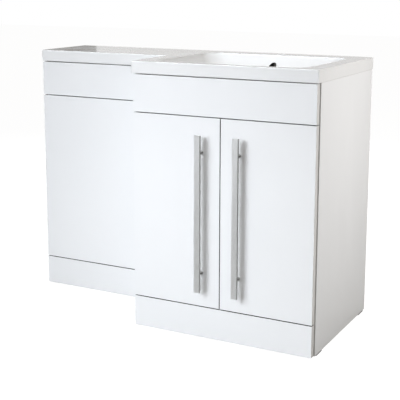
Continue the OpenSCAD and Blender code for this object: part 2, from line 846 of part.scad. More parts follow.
// Clip studs: a disc on the panel's rear face, a peg into it and a nose in the socket
module panel_clip_studs() color(white_plastic)
    for (c = clips) {
        rod_d(c[0], [wc_face - stud_base_h, wc_face], c[1], socket_r - stud_rim);
        rod_d(c[0], [wc_face - cut, wc_face + stud_peg_l], c[1], stud_peg_r);
        rod_d(c[0], [wc_edge - stud_nose_l, wc_face - cut], c[1],
              socket_bore - snap_fit - peg_fit);
    }

// Connecting bolts: a sleeve through both side panels with a flat head at each end
module unit_connectors() color(bright_steel)
    for (b = bolts) {
        rod_x([wc_in[1], vanity_in[0]], b[0], b[1], bolt_r);
        rod_x([wc_in[1] - bolt_head_h, wc_in[1]], b[0], b[1], bolt_head_r);
        rod_x([vanity_in[0], vanity_in[0] + bolt_head_h], b[0], b[1], bolt_head_r);
    }

module door_bumpers() color(clear_plastic)
    for (x = bumper_x, z = bumper_z) {
        rod_d(x, [vanity_edge, vanity_face - rest_fit], z, bumper_r);
        rod_d(x, [vanity_edge - bumper_peg_l, vanity_edge + cut], z, bumper_peg_r);
    }

// Frame at a hinge: x inwards from the door's outer edge, y back from its rear face
module at_hinges(side)
    for (z = hinge_z) corner(vanity_front_x[side], vanity_face, z, side) children();

// Capsule outline: two circles with a straight strip between them
module capsule(x, z, r) {
    for (k = [-1, 1]) translate([x, k*z]) circle(r = r);
    translate([x - r, -z]) square([2*r, 2*z]);
}

// Cup with its flange, bored for the pin and the two screws
module hinge_cup()
    difference() {
        union() {
            difference() {
                union() {
                    translate([cup_edge, 0, 0]) rotate([90, 0, 0])
                        cylinder(r = cup_d/2, h = cup_depth);
                    translate([0, flange_t, 0]) rotate([90, 0, 0])
                        linear_extrude(flange_t) {
                            translate([cup_edge, 0]) circle(r = flange_r);
                            capsule(cup_screw_x, cup_screw_z, wing_r);
                        }
                }
                translate([cup_edge, flange_t + cut, 0]) rotate([90, 0, 0])
                    cylinder(r = cup_d/2 - cup_wall, h = flange_t + cut + cup_depth - cup_wall);
            }
            intersection() {
                for (k = [-1, 1])
                    translate([pin_edge - boss_w/2, cup_wall/2 - cup_depth,
                               k > 0 ? boss_from : -boss_from - cup_d/2])
                        cube([boss_w, cup_depth - pin_drop + boss_w/2, cup_d/2]);
                translate([cup_edge, 0, 0]) rotate([90, 0, 0])
                    cylinder(r = cup_d/2 - cup_wall/2, h = cup_depth);
            }
        }
        translate([pin_edge, -pin_drop, -pin_l/2 - pin_end])
            cylinder(r = pin_d/2 + peg_fit, h = pin_l + 2*pin_end);
        for (k = [-1, 1])
            translate([cup_screw_x, flange_t + cut, k*cup_screw_z]) rotate([90, 0, 0])
                cylinder(r = cup_screw_r + screw_fit, h = flange_t + 2*cut);
    }

// Arm: a knuckle round the pin, a crank out of the cup and a channel back to the plate
module hinge_arm()
    difference() {
        union() {
            translate([pin_edge, -pin_drop, -nose_w/2]) cylinder(r = knuckle_r, h = nose_w);
            translate([pin_edge, -pin_drop - arm_t/2, -nose_w/2])
                cube([arm_x + arm_t - pin_edge, arm_t, nose_w]);
            translate([arm_x, -pin_drop - arm_t/2, -nose_w/2])
                cube([arm_t, pin_drop + arm_t/2 + arm_wide_from + cut, nose_w]);
            translate([arm_x, arm_wide_from, -arm_w/2])
                cube([arm_t, arm_end - arm_wide_from, arm_w]);
            for (k = [0, 1])
                translate([arm_x - arm_skirt, arm_wide_from + skirt_gap,
                           k == 0 ? -arm_w/2 : arm_w/2 - arm_skirt_t])
                    cube([arm_skirt + cut, arm_end - arm_wide_from - skirt_gap - skirt_end, arm_skirt_t]);
        }
        translate([pin_edge, -pin_drop, -nose_w/2 - cut])
            cylinder(r = pin_d/2 + pin_fit, h = nose_w + 2*cut);
        translate([arm_x - cut, arm_screw_y, 0]) rotate([0, 90, 0])
            cylinder(r = screw_r + screw_fit, h = arm_t + 2*cut);
    }

// Mounting plate: a thin cross piece screwed to the side panel and a saddle under the arm
module hinge_plate()
    difference() {
        union() {
            translate([side_face, plate_hole_y, 0]) rotate([0, 90, 0]) rotate([0, 0, 90])
                linear_extrude(plate_t_steel) capsule(0, plate_hole_z, wing_r);
            translate([side_face, plate_from, -saddle_w/2])
                cube([arm_x - side_face, plate_to - plate_from, saddle_w]);
        }
        for (k = [-1, 1])
            translate([side_face - cut, plate_hole_y, k*plate_hole_z]) rotate([0, 90, 0])
                cylinder(r = screw_r + screw_fit, h = plate_t_steel + 2*cut);
        translate([arm_x - arm_screw_l - hole_spare, arm_screw_y, 0]) rotate([0, 90, 0])
            cylinder(r = screw_r + peg_fit, h = arm_screw_l + 2*cut);
    }

module left_hinge_cups() color(steel) at_hinges(0) hinge_cup();

module right_hinge_cups() color(steel) at_hinges(1) hinge_cup();

module left_hinge_arms() color(steel) at_hinges(0) hinge_arm();

module right_hinge_arms() color(steel) at_hinges(1) hinge_arm();

module left_hinge_plates() color(steel) at_hinges(0) hinge_plate();

module right_hinge_plates() color(steel) at_hinges(1) hinge_plate();

module hinge_pin()
    translate([pin_edge, -pin_drop, -pin_l/2]) cylinder(r = pin_d/2, h = pin_l);

module left_hinge_pins() color(bright_steel) at_hinges(0) hinge_pin();

module right_hinge_pins() color(bright_steel) at_hinges(1) hinge_pin();

module cup_screw_pair()
    for (k = [-1, 1])
        translate([cup_screw_x, flange_t, k*cup_screw_z]) rotate([-90, 0, 0])
            screw(cup_screw_l, cup_screw_r, screw_head_r);

module left_cup_screws() color(bright_steel) at_hinges(0) cup_screw_pair();

module right_cup_screws() color(bright_steel) at_hinges(1) cup_screw_pair();

module hinge_plate_screws() color(bright_steel)
    for (side = [0, 1])
        at_hinges(side)
            for (k = [-1, 1])
                translate([side_face + plate_t_steel, plate_hole_y, k*plate_hole_z])
                    rotate([0, 90, 0]) screw(plate_screw_l, screw_r, screw_head_r);

module hinge_arm_screws() color(bright_steel)
    for (side = [0, 1])
        at_hinges(side)
            translate([arm_x + arm_t, arm_screw_y, 0]) rotate([0, 90, 0])
                screw(arm_screw_l + arm_t, screw_r, screw_head_r);

// Middle of a handle bar
function handle_x(side) =
    side == 0 ? vanity_front_x[0] + door_w - handle_inset
              : vanity_front_x[1] - door_w + handle_inset;

// Door with its two cup bores, four cup screw holes and two handle holes
module door(side) {
    x = side == 0 ? [vanity_front_x[0], vanity_front_x[0] + door_w]
                  : [vanity_front_x[1] - door_w, vanity_front_x[1]];
    difference() {
        block(x, [vanity_face, top_d], door_z);
        at_hinges(side) {
            translate([cup_edge, 1, 0]) rotate([90, 0, 0])
                cylinder(r = cup_d/2 + peg_fit, h = 1 + cup_depth + peg_fit);
            for (k = [-1, 1])
                translate([cup_screw_x, 1, k*cup_screw_z]) rotate([90, 0, 0])
                    cylinder(r = cup_screw_r + peg_fit, h = cup_screw_l + cut);
        }
        for (z = post_z)
            rod_d(handle_x(side), [vanity_face - cut, top_d + cut], z, machine_r + screw_fit);
    }
}

module left_door() color(white_gloss) door(0);

module right_door() color(white_gloss) door(1);

// Square-edged bar with two blind holes for the posts
module handle_bar(x)
    difference() {
        block([x - bar_w/2, x + bar_w/2], [bar_back, bar_back + bar_t], bar_z);
        for (z = post_z)
            rod_d(x, [bar_back - cut, bar_back + spigot_l + 0.3], z, spigot_r + peg_fit);
    }

module left_handle_bar() color(steel) handle_bar(handle_x(0));

module right_handle_bar() color(steel) handle_bar(handle_x(1));

// Round posts, each with a spigot in the bar and a blind hole for its screw
module handle_posts(x)
    for (z = post_z)
        difference() {
            union() {
                rod_d(x, [top_d, bar_back], z, post_d/2);
                rod_d(x, [bar_back - cut, bar_back + spigot_l], z, spigot_r);
            }
            rod_d(x, [top_d - cut, top_d + machine_grip + cut], z, machine_r + peg_fit);
        }

module left_handle_posts() color(steel) handle_posts(handle_x(0));

module right_handle_posts() color(steel) handle_posts(handle_x(1));

// Machine screws through the door into the posts
module handle_screws(x)
    for (z = post_z)
        difference() {
            union() {
                rod_d(x, [vanity_face - machine_head_h, vanity_face], z, machine_head_r);
                rod_d(x, [vanity_face - cut, top_d + machine_grip], z, machine_r);
            }
            for (a = [0, 90])
                at(x, vanity_face - machine_head_h, z) rotate([0, a, 0])
                    translate([-machine_head_r*screw_drive/2, -slot_depth, -slot_w/2])
                        cube([machine_head_r*screw_drive, slot_depth + cut, slot_w]);
        }

module left_handle_screws() color(bright_steel) handle_screws(handle_x(0));

module right_handle_screws() color(bright_steel) handle_screws(handle_x(1));

basin_top();
vanity_side_left();
vanity_side_right();
vanity_base();
vanity_front_rail();
vanity_back_rail();
vanity_foot_rail();
vanity_fascia();
vanity_plinth();
vanity_shelf();
shelf_pins();
vanity_glides();
vanity_brackets();
wc_side_left();
wc_side_right();
wc_top_rail();
wc_middle_rail();
wc_base_rail();
wc_back_rail();
wc_access_panel();
wc_front_panel();
wc_plinth();
wc_glides();
wc_brackets();
panel_clip_sockets();
panel_clip_studs();
bracket_screws();
unit_connectors();
cam_locks();
cam_bolts();
door_bumpers();
left_hinge_plates();
right_hinge_plates();
left_hinge_arms();
right_hinge_arms();
hinge_plate_screws();
hinge_arm_screws();
left_door();
left_handle_bar();
left_handle_posts();
left_handle_screws();
left_hinge_cups();
left_hinge_pins();
left_cup_screws();
right_door();
right_handle_bar();
right_handle_posts();
right_handle_screws();
right_hinge_cups();
right_hinge_pins();
right_cup_screws();
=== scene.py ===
"""White L-shaped bathroom unit: a shallow WC cabinet beside a two-door vanity under one cast top.

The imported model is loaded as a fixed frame. The cast top is modelled again with finer curves and
rounded edges, and the boards, handles, hinges and fixings keep their solids and get softened edges
and procedural finishes. Everything is in metres: x runs along the wall, y runs back to the wall and
z runs up, and the fronts face -y.
"""

import logging
import math
from abc import ABC, abstractmethod
from dataclasses import dataclass, field
from enum import Enum

import bmesh
import bpy
from mathutils import Matrix, Vector

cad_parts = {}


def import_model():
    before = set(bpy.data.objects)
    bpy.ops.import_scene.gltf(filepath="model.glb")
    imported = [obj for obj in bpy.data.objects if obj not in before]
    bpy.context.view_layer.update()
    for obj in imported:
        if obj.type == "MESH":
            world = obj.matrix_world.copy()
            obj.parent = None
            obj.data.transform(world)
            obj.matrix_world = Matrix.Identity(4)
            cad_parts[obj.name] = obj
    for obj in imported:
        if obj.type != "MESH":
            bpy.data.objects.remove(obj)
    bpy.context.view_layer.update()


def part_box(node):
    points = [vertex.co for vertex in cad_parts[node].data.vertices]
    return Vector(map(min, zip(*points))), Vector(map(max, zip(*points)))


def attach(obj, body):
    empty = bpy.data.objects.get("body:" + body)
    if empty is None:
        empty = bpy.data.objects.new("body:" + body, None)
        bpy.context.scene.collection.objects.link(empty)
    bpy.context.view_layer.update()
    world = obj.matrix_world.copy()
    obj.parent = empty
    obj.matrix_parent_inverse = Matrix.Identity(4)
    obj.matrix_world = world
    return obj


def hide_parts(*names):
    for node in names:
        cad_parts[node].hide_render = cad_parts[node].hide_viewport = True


log = logging.getLogger("bathroom_unit")

Point = tuple[float, float]
Place = tuple[float, float, float]
Colour = tuple[float, float, float]
Ring = list[Vector]

MM = 0.001
# Points closer than this become one, and edges sharper than this are rounded.
WELD = 0.01 * MM
SHARP_FROM = math.radians(40)
# Points in each ring of a turned solid.
TURN_STEPS = 64
# Painted shade: a spot lies in a gap if something is within reach, and its colour is darkened
# there;
# the next two are the open shares of its surroundings at which it counts as well inside and as in
# the open.
SHADE_GAP_REACH = 5 * MM
SHADE_GAP_DEEP = 0.50
SHADE_GAP_OPEN = 0.95
SHADE_GAP_RAYS = 8
# Colours that two finishes or two lights share.
# The first is a pale painted shade for the narrow gaps of the covers and side panels.
PALE_GAP_SHADE: Colour = (0.62, 0.60, 0.58)
DAYLIGHT: Colour = (0.902, 0.945, 1.0)


class Change(Enum):
    """What a tool does to the solid that it meets."""

    ADD = "UNION"
    CUT = "DIFFERENCE"


class Grain(Enum):
    """Stretch of a noise on the object's three axes."""

    EVEN = (1.0, 1.0, 1.0)
    WIPED = (1.0, 1.0, 0.25)
    BRUSHED = (60.0, 60.0, 1.0)


class Hand(Enum):
    """Which of the two doors a piece belongs to, as its names say it."""

    LEFT = "left"
    RIGHT = "right"


class Axis(Enum):
    """Axis of the object that a face looks along or a bore runs along."""

    X = "X"
    Y = "Y"
    Z = "Z"


@dataclass(frozen=True)
class Noise:
    """Noise of a pattern: its waves in a metre, its octaves and how it is stretched."""

    waves: float
    octaves: float = 2.0
    grain: Grain = Grain.EVEN


@dataclass(frozen=True)
class Relief:
    """How a pattern is raised: the share of the effect and its height in metres."""

    strength: float
    depth: float


@dataclass(frozen=True)
class Edge:
    """Rounding of a piece's edges: its width in metres and the facets across it."""

    width: float
    facets: int = 2


class Painter:
    """Small wrapper round a material's nodes, in the object's own coordinates."""

    def __init__(self, name: str) -> None:
        """Make an empty material with one principled shader.

        Args:
            name: The material's name.
        """
        self.material = bpy.data.materials.new(name)
        self.material.use_nodes = True
        self.tree = self.material.node_tree
        self.shader = self.tree.nodes["Principled BSDF"]
        self.place = self.tree.nodes.new("ShaderNodeTexCoord")

    def put(self, socket: str, value: float) -> None:
        """Set one of the shader's own sockets."""
        self.shader.inputs[socket].default_value = value

    def link(self, source: bpy.types.NodeSocket, socket: str) -> None:
        """Feed one of the shader's sockets."""
        self.tree.links.new(source, self.shader.inputs[socket])

    def noise(self, pattern: Noise) -> bpy.types.NodeSocket:
        """Noise from 0 to 1.

        Args:
            pattern: Its waves, octaves and stretch.

        Returns:
            The noise value's socket.
        """
        mapping = self.tree.nodes.new("ShaderNodeMapping")
        mapping.inputs["Scale"].default_value = pattern.grain.value
        self.tree.links.new(self.place.outputs["Object"], mapping.inputs["Vector"])
        texture = self.tree.nodes.new("ShaderNodeTexNoise")
        texture.inputs["Scale"].default_value = pattern.waves
        texture.inputs["Detail"].default_value = pattern.octaves
        self.tree.links.new(mapping.outputs["Vector"], texture.inputs["Vector"])
        return texture.outputs["Fac"]

    def spread(
        self,
        source: bpy.types.NodeSocket,
        low: float = 0.0,
        high: float = 1.0,
        start: float = 0.3,
        end: float = 0.7,
    ) -> bpy.types.NodeSocket:
        """Spread a value between two others.

        Args:
            source: The value.
            low: Result at the start.
            high: Result at the end.
            start: Source value that gives low.
            end: Source value that gives high.

        Returns:
            The result's socket.
        """
        ranger = self.tree.nodes.new("ShaderNodeMapRange")
        ranger.interpolation_type = "SMOOTHSTEP"
        limits = {"From Min": start, "From Max": end, "To Min": low, "To Max": high}
        for name, value in limits.items():
            ranger.inputs[name].default_value = value
        self.tree.links.new(source, ranger.inputs["Value"])
        return ranger.outputs["Result"]

    def mixed(
        self,
        share: bpy.types.NodeSocket,
        first: Colour | bpy.types.NodeSocket,
        second: Colour | bpy.types.NodeSocket,
    ) -> bpy.types.NodeSocket:
        """Mix two colours.

        Args:
            share: Share of the second colour.
            first: A colour or a socket with one.
            second: A colour or a socket with one.

        Returns:
            The mixed colour's socket.
        """
        mix = self.tree.nodes.new("ShaderNodeMix")
        mix.data_type = "RGBA"
        self.tree.links.new(share, mix.inputs["Factor"])
        for name, value in (("A", first), ("B", second)):
            socket = next(s for s in mix.inputs if s.name == name and s.type == "RGBA")
            if isinstance(value, bpy.types.NodeSocket):
                self.tree.links.new(value, socket)
            else:
                socket.default_value = (*value, 1.0)
        return next(s for s in mix.outputs if s.type == "RGBA")

    def facing(self, axis: Axis, start: float = 0.8, end: float = 0.95) -> bpy.types.NodeSocket:
        """How far the surface faces along an axis of the object, either way.

        Args:
            axis: The axis.
            start: Cosine that gives 0.
            end: Cosine that gives 1.

        Returns:
            The share's socket.
        """
        split = self.tree.nodes.new("ShaderNodeSeparateXYZ")
        self.tree.links.new(self.place.outputs["Normal"], split.inputs["Vector"])
        size = self.tree.nodes.new("ShaderNodeMath")
        size.operation = "ABSOLUTE"
        self.tree.links.new(split.outputs[axis.value], size.inputs[0])
        return self.spread(size.outputs[0], start=start, end=end)

    def gap_shade_share(self) -> bpy.types.NodeSocket:
        """Share of painted shade: how deep a spot lies in a narrow gap, from 0 in the open to 1
        well inside.

        Returns:
            The share's socket.
        """
        gap_occlusion = self.tree.nodes.new("ShaderNodeAmbientOcclusion")
        gap_occlusion.samples = SHADE_GAP_RAYS
        gap_occlusion.inputs["Distance"].default_value = SHADE_GAP_REACH
        return self.spread(gap_occlusion.outputs["AO"], 1.0, 0.0, SHADE_GAP_DEEP, SHADE_GAP_OPEN)

    def bump(self, height: bpy.types.NodeSocket, relief: Relief) -> None:
        """Raise the surface by a height.

        Args:
            height: Height from 0 to 1.
            relief: How strongly it shows and how high it is.
        """
        node = self.tree.nodes.new("ShaderNodeBump")
        node.inputs["Strength"].default_value = relief.strength
        node.inputs["Distance"].default_value = relief.depth
        self.tree.links.new(height, node.inputs["Height"])
        self.link(node.outputs["Normal"], "Normal")


@dataclass(frozen=True)
class GlossBoard:
    """High-gloss white foil on board, with painted shade on the edges that face one axis and in
    narrow gaps.
    """

    name: str = "gloss_white_board"
    white: Colour = (0.82, 0.825, 0.83)
    cloud: Colour = (0.80, 0.806, 0.812)
    # Painted shade: tone of the edges that face the chosen axis, darker than the face because they
    # get less light.
    edge: Colour = (0.66, 0.655, 0.64)
    # Painted shade mixed into narrow gaps between parts.
    shade: Colour = (0.020, 0.014, 0.010)
    shaded_edge_axis: Axis = Axis.X
    clouds: Noise = Noise(2.5, 3.0)
    wiping: Noise = Noise(14.0, 4.0, Grain.WIPED)
    smoothest: float = 0.16
    roughest: float = 0.26
    ripple: Noise = Noise(260.0, 1.0)
    relief: Relief = Relief(0.06, 0.2 * MM)
    coat: float = 0.30
    coat_roughness: float = 0.10

    def build(self) -> bpy.types.Material:
        """Make the material.

        Returns:
            The material.
        """
        paint = Painter(self.name)
        face = paint.mixed(paint.spread(paint.noise(self.clouds)), self.white, self.cloud)
        # Painted shade: darker edges on the faces along the chosen axis, then a dark tone deep in
        # narrow gaps.
        edge_shaded = paint.mixed(paint.facing(self.shaded_edge_axis), face, self.edge)
        paint.link(paint.mixed(paint.gap_shade_share(), edge_shaded, self.shade), "Base Color")
        wiped = paint.noise(self.wiping)
        paint.link(paint.spread(wiped, self.smoothest, self.roughest), "Roughness")
        paint.bump(paint.noise(self.ripple), self.relief)
        paint.put("Coat Weight", self.coat)
        paint.put("Coat Roughness", self.coat_roughness)
        return paint.material


@dataclass(frozen=True)
class InnerBoard:
    """White melamine-faced board with a fine pearl grain."""

    name: str = "inner_melamine"
    white: Colour = (0.74, 0.74, 0.73)
    speck: Colour = (0.69, 0.69, 0.675)
    # Painted shade mixed into narrow gaps between parts.
    shade: Colour = (0.30, 0.285, 0.265)
    specks: Noise = Noise(420.0)
    speck_from: float = 0.45
    speck_full: float = 0.75
    rubbing: Noise = Noise(30.0, 3.0)
    smoothest: float = 0.36
    roughest: float = 0.48
    pearl: Noise = Noise(900.0)
    relief: Relief = Relief(0.18, 0.08 * MM)

    def build(self) -> bpy.types.Material:
        """Make the material.

        Returns:
            The material.
        """
        paint = Painter(self.name)
        specks = paint.noise(self.specks)
        share = paint.spread(specks, start=self.speck_from, end=self.speck_full)
        board = paint.mixed(share, self.white, self.speck)
        # Painted shade in narrow gaps.
        paint.link(paint.mixed(paint.gap_shade_share(), board, self.shade), "Base Color")
        rubbed = paint.noise(self.rubbing)
        paint.link(paint.spread(rubbed, self.smoothest, self.roughest), "Roughness")
        paint.bump(paint.noise(self.pearl), self.relief)
        return paint.material


@dataclass(frozen=True)
class CastResin:
    """Cast marble resin under a glossy white gel coat."""

    name: str = "cast_gel_coat"
    white: Colour = (0.825, 0.827, 0.826)
    cloud: Colour = (0.80, 0.803, 0.80)
    # Painted shade mixed into narrow gaps between parts.
    shade: Colour = (0.66, 0.65, 0.63)
    clouds: Noise = Noise(5.0, 4.0)
    rubbing: Noise = Noise(22.0, 5.0)
    smoothest: float = 0.10
    roughest: float = 0.19
    ripple: Noise = Noise(45.0, 1.0)
    relief: Relief = Relief(0.05, 0.25 * MM)
    coat: float = 0.5
    coat_roughness: float = 0.03

    def build(self) -> bpy.types.Material:
        """Make the material.

        Returns:
            The material.
        """
        paint = Painter(self.name)
        resin = paint.mixed(paint.spread(paint.noise(self.clouds)), self.white, self.cloud)
        # Painted shade in narrow gaps.
        paint.link(paint.mixed(paint.gap_shade_share(), resin, self.shade), "Base Color")
        rubbed = paint.noise(self.rubbing)
        paint.link(paint.spread(rubbed, self.smoothest, self.roughest), "Roughness")
        paint.bump(paint.noise(self.ripple), self.relief)
        paint.put("Coat Weight", self.coat)
        paint.put("Coat Roughness", self.coat_roughness)
        return paint.material


@dataclass(frozen=True)
class BrushedSteel:
    """Stainless steel brushed along its length, with painted shade on the flanks that face x for a
    dark reflection.
    """

    name: str = "brushed_steel"
    light: Colour = (0.89, 0.888, 0.878)
    dark: Colour = (0.70, 0.697, 0.686)
    # Painted shade on the flanks, standing in for the dark surroundings that they reflect.
    flank_shade: Colour = (0.33, 0.32, 0.31)
    flank_shade_from: float = 0.5
    flank_shade_full: float = 0.9
    scratches: Noise = Noise(40.0, 3.0, Grain.BRUSHED)
    bands: Noise = Noise(6.0, 2.0, Grain.BRUSHED)
    smoothest: float = 0.40
    roughest: float = 0.52
    relief: Relief = Relief(0.25, 0.05 * MM)
    metal: float = 0.93

    def build(self) -> bpy.types.Material:
        """Make the material.

        Returns:
            The material.
        """
        paint = Painter(self.name)
        scratches = paint.noise(self.scratches)
        brushed = paint.mixed(paint.spread(scratches), self.light, self.dark)
        # Painted shade: the flanks that face x take a dark tone.
        flank_shade = paint.facing(Axis.X, self.flank_shade_from, self.flank_shade_full)
        paint.link(paint.mixed(flank_shade, brushed, self.flank_shade), "Base Color")
        bands = paint.noise(self.bands)
        paint.link(paint.spread(bands, self.smoothest, self.roughest), "Roughness")
        paint.bump(scratches, self.relief)
        paint.put("Metallic", self.metal)
        return paint.material


@dataclass(frozen=True)
class PlatedSteel:
    """Pressed steel with a dull bright plating."""

    name: str = "plated_steel"
    light: Colour = (0.62, 0.62, 0.61)
    dark: Colour = (0.50, 0.50, 0.49)
    roughness: float = 0.26
    rougher: float = 0.14
    spots: Noise = Noise(160.0, 4.0)
    rubbing: Noise = Noise(90.0, 3.0)
    pits: Noise = Noise(700.0)
    relief: Relief = Relief(0.12, 0.05 * MM)
    metal: float = 1.0

    def build(self) -> bpy.types.Material:
        """Make the material.

        Returns:
            The material.
        """
        paint = Painter(self.name)
        spots = paint.spread(paint.noise(self.spots))
        paint.link(paint.mixed(spots, self.light, self.dark), "Base Color")
        rubbed, roughest = paint.noise(self.rubbing), self.roughness + self.rougher
        paint.link(paint.spread(rubbed, self.roughness, roughest), "Roughness")
        paint.bump(paint.noise(self.pits), self.relief)
        paint.put("Metallic", self.metal)
        return paint.material


@dataclass(frozen=True)
class MouldedPlastic:
    """Injection-moulded plastic with a fine spark grain."""

    name: str
    base: Colour
    shade: Colour
    roughness: float
    clear: float = 0.0
    rougher: float = 0.12
    clouds: Noise = Noise(60.0, 3.0)
    rubbing: Noise = Noise(220.0)
    spark: Noise = Noise(1200.0)
    relief: Relief = Relief(0.2, 0.05 * MM)

    def build(self) -> bpy.types.Material:
        """Make the material.

        Returns:
            The material.
        """
        paint = Painter(self.name)
        clouds = paint.spread(paint.noise(self.clouds))
        paint.link(paint.mixed(clouds, self.base, self.shade), "Base Color")
        rubbed, roughest = paint.noise(self.rubbing), self.roughness + self.rougher
        paint.link(paint.spread(rubbed, self.roughness, roughest), "Roughness")
        paint.bump(paint.noise(self.spark), self.relief)
        paint.put("Transmission Weight", self.clear)
        return paint.material


@dataclass
class Palette:
    """The unit's materials, each made once."""

    top: bpy.types.Material = field(default_factory=CastResin().build)
    # Painted shade: a near-black material put in the overflow's bore, where the hole lies in shade.
    bore_shade: bpy.types.Material = field(
        default_factory=MouldedPlastic(
            "overflow_bore_painted_shade", (0.030, 0.029, 0.028), (0.020, 0.020, 0.019), 0.6
        ).build
    )
    front: bpy.types.Material = field(default_factory=GlossBoard().build)
    # Same board as the fronts, with a paler painted shade in narrow gaps.
    cover: bpy.types.Material = field(
        default_factory=GlossBoard("gloss_white_cover", shade=PALE_GAP_SHADE).build
    )
    # Paler painted shade in narrow gaps, and the painted edge shade on faces that face y.
    side: bpy.types.Material = field(
        default_factory=GlossBoard("gloss_white_side", shade=PALE_GAP_SHADE, shaded_edge_axis=Axis.Y).build
    )
    inner: bpy.types.Material = field(default_factory=InnerBoard().build)
    handle: bpy.types.Material = field(default_factory=BrushedSteel().build)
    hinge: bpy.types.Material = field(default_factory=PlatedSteel().build)
    fixing: bpy.types.Material = field(
        default_factory=PlatedSteel(
            "zinc_fixings", light=(0.66, 0.66, 0.68), dark=(0.55, 0.55, 0.56), roughness=0.32
        ).build
    )
    glide: bpy.types.Material = field(
        default_factory=MouldedPlastic(
            "dark_glide", (0.09, 0.088, 0.085), (0.06, 0.06, 0.058), 0.5
        ).build
    )
    clip: bpy.types.Material = field(
        default_factory=MouldedPlastic(
            "white_clip", (0.78, 0.78, 0.76), (0.72, 0.72, 0.70), 0.35
        ).build
    )
    stop: bpy.types.Material = field(
        default_factory=MouldedPlastic(
            "clear_stop", (0.82, 0.84, 0.85), (0.76, 0.78, 0.80), 0.2, clear=0.6
        ).build
    )


def quarter(steps: int) -> list[Point]:
    """Cosine and sine of each angle that parts a quarter turn into equal steps."""
    angles = [math.pi / 2 * k / steps for k in range(steps + 1)]
    return [(math.cos(angle), math.sin(angle)) for angle in angles]


def object_from(name: str, build: bmesh.types.BMesh) -> bpy.types.Object:
    """Turn a bmesh into a linked object and free it.

    Args:
        name: Name of the object.
        build: The bmesh.

    Returns:
        The object.
    """
    bmesh.ops.recalc_face_normals(build, faces=build.faces)
    mesh = bpy.data.meshes.new(name)
    build.to_mesh(mesh)
    build.free()
    made = bpy.data.objects.new(name, mesh)
    bpy.context.scene.collection.objects.link(made)
    return made


def loft(name: str, rings: list[Ring]) -> bpy.types.Object:
    """Closed solid through rings of equal point counts, one above the other.

    Args:
        name: Name of the object.
        rings: The rings, lowest first.

    Returns:
        The solid.
    """
    build = bmesh.new()
    rows = [[build.verts.new(point) for point in ring] for ring in rings]
    count = len(rings[0])
    for low, high in zip(rows, rows[1:]):
        for i in range(count):
            j = (i + 1) % count
            build.faces.new((low[i], low[j], high[j], high[i]))
    build.faces.new(rows[0][::-1])
    build.faces.new(rows[-1])
    return object_from(name, build)


def turned(
    name: str, profile: list[Point], at: Vector, axis: Axis = Axis.Z
) -> bpy.types.Object:
    """Solid of revolution.

    Args:
        name: Name of the object.
        profile: Radius and height of each ring, lowest first.
        at: Place of height 0 on the axis.
        axis: The way it stands.

    Returns:
        The solid.
    """
    turn = Matrix.Identity(3) if axis is Axis.Z else Matrix.Rotation(-math.pi / 2, 3, "X")
    angles = [2 * math.pi * k / TURN_STEPS for k in range(TURN_STEPS)]
    rings = []
    for radius, height in profile:
        flat = [Vector((radius * math.cos(a), radius * math.sin(a), height)) for a in angles]
        rings.append([at + turn @ point for point in flat])
    return loft(name, rings)


def combine(target: bpy.types.Object, tool: bpy.types.Object, change: Change) -> None:
    """Add a tool to a solid or cut it out, and remove the tool.

    Args:
        target: The solid that changes.
        tool: The solid that is used up.
        change: Whether it adds or cuts.
    """
    step = target.modifiers.new("combine", "BOOLEAN")
    step.object = tool
    step.operation = change.value
    step.solver = "MANIFOLD"
    graph = bpy.context.evaluated_depsgraph_get()
    mesh = bpy.data.meshes.new_from_object(target.evaluated_get(graph))
    target.modifiers.clear()
    spent = target.data
    target.data = mesh
    bpy.data.meshes.remove(spent)
    bpy.data.objects.remove(tool)


def even_out(piece: bpy.types.Object) -> None:
    """Let a piece's large faces set the shading of its rounded edges."""
    even = piece.modifiers.new("even_normals", "WEIGHTED_NORMAL")
    even.keep_sharp = True


def soften(piece: bpy.types.Object, edge: Edge) -> None:
    """Round a solid's sharp edges and keep its flat faces flat.

    Args:
        piece: The solid, which keeps its own vertices.
        edge: The rounding.
    """
    weld = piece.modifiers.new("weld", "WELD")
    weld.merge_threshold = WELD
    bevel = piece.modifiers.new("soft_edges", "BEVEL")
    bevel.width = edge.width
    bevel.segments = edge.facets
    bevel.limit_method = "ANGLE"
    bevel.angle_limit = SHARP_FROM
    bevel.use_clamp_overlap = True
    bevel.miter_outer = "MITER_ARC"
    even_out(piece)


def dress(piece: bpy.types.Object, material: bpy.types.Material) -> None:
    """Give a piece one material."""
    piece.data.materials.clear()
    piece.data.materials.append(material)


def rounded_outline(
    corners: list[Point], radius: float, steps: int
) -> list[tuple[Vector, Vector]]:
    """Outline with round corners, as points with their outward normals.

    Args:
        corners: The corners, anticlockwise.
        radius: Radius of every corner.
        steps: Facets in each corner.

    Returns:
        A point and a normal for each place on the outline.
    """
    made = []
    count = len(corners)
    for i in range(count):
        before, corner, after = (Vector(corners[(i + k) % count]) for k in (-1, 0, 1))
        back, ahead = (before - corner).normalized(), (after - corner).normalized()
        way = 1.0 if ahead.cross(back) > 0 else -1.0
        centre = corner + (back + ahead) * radius
        for cosine, sine in quarter(steps):
            normal = way * (-ahead * cosine - back * sine)
            made.append((centre + way * normal * radius, normal))
    return made


